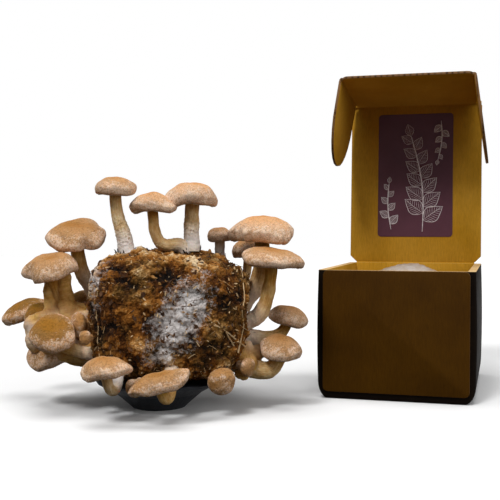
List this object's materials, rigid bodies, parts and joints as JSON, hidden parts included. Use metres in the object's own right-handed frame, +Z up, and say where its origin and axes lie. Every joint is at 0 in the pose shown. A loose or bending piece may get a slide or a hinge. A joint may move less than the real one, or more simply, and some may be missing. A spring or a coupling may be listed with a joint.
{
  "type": "shiitake mushroom grow kit",
  "caption": "Mushroom grow kit: a sawdust fruiting block on a low stand, covered in shiitake, beside an open cardboard mailer box holding a bagged block.",
  "frame": {"origin": "centre of the whole kit's bounding box, on the table it stands on", "axes": "+X to the viewer's right along the kit's length, +Y away from the viewer, +Z up"},
  "size_m": [0.541, 0.3692, 0.3493],
  "materials": {
    "sawdust": "matte",
    "mushroom_cap": "matte",
    "mushroom_stem": "matte",
    "dark_stand": "matte",
    "board_outside": "matte",
    "kraft_board": "matte",
    "label_paper": "satin",
    "filter_bag": "satin"
  },
  "bodies": {
    "kit": {"sawdust_block": "sawdust", "stand": "dark_stand", "box_tray": "board_outside", "front_panel": "kraft_board", "grow_bag": "filter_bag", "tall_cap": "mushroom_cap", "top_small_cap": "mushroom_cap", "right_wide_cap": "mushroom_cap", "right_shelf_cap": "mushroom_cap", "right_back_cap": "mushroom_cap", "right_mid_cap": "mushroom_cap", "right_low_cap": "mushroom_cap", "left_top_cap": "mushroom_cap", "left_upper_cap": "mushroom_cap", "left_far_cap": "mushroom_cap", "left_front_cap": "mushroom_cap", "left_low_cap": "mushroom_cap", "left_inner_cap": "mushroom_cap", "front_left_cap": "mushroom_cap", "front_mid_cap": "mushroom_cap", "left_second_cap": "mushroom_cap", "back_left_cap": "mushroom_cap", "back_right_cap": "mushroom_cap", "twin_left_cap": "mushroom_cap", "twin_right_cap": "mushroom_cap", "lower_right_button": "mushroom_cap", "right_corner_button": "mushroom_cap", "left_base_button": "mushroom_cap", "left_corner_button": "mushroom_cap", "front_corner_button": "mushroom_cap", "front_under_button": "mushroom_cap", "tall_stem": "mushroom_stem", "top_small_stem": "mushroom_stem", "right_wide_stem": "mushroom_stem", "right_shelf_stem": "mushroom_stem", "right_back_stem": "mushroom_stem", "right_mid_stem": "mushroom_stem", "right_low_stem": "mushroom_stem", "left_top_stem": "mushroom_stem", "left_upper_stem": "mushroom_stem", "left_far_stem": "mushroom_stem", "left_front_stem": "mushroom_stem", "left_low_stem": "mushroom_stem", "left_inner_stem": "mushroom_stem", "front_left_stem": "mushroom_stem", "front_mid_stem": "mushroom_stem", "left_second_stem": "mushroom_stem", "back_left_stem": "mushroom_stem", "back_right_stem": "mushroom_stem", "twin_stem": "mushroom_stem"},
    "lid": {"box_lid": "kraft_board", "lid_label": "label_paper"},
    "flap": {"tuck_flap": "kraft_board"},
    "ear_left": {"flap_ear_left": "kraft_board"},
    "ear_right": {"flap_ear_right": "kraft_board"}
  },
  "joints": [
    {"name": "lid_fold", "type": "hinge", "parent": "kit", "child": "lid", "pos_m": [0.19023, 0.14971, 0.1339], "axis": [0.9622, -0.2723, 0], "range_deg": [-80, 45]},
    {"name": "flap_fold", "type": "hinge", "parent": "lid", "child": "flap", "pos_m": [0.19318, 0.16013, 0.3276], "axis": [0.9622, -0.2723, 0], "range_deg": [-85, 15]},
    {"name": "ear_left_fold", "type": "hinge", "parent": "flap", "child": "ear_left", "pos_m": [0.12245, 0.18014, 0.3276], "axis": [0.2688, 0.9498, -0.1599], "range_deg": [-40, 75]},
    {"name": "ear_right_fold", "type": "hinge", "parent": "flap", "child": "ear_right", "pos_m": [0.2639, 0.14011, 0.3276], "axis": [0.2688, 0.9498, -0.1599], "range_deg": [-75, 40]}
  ]
}
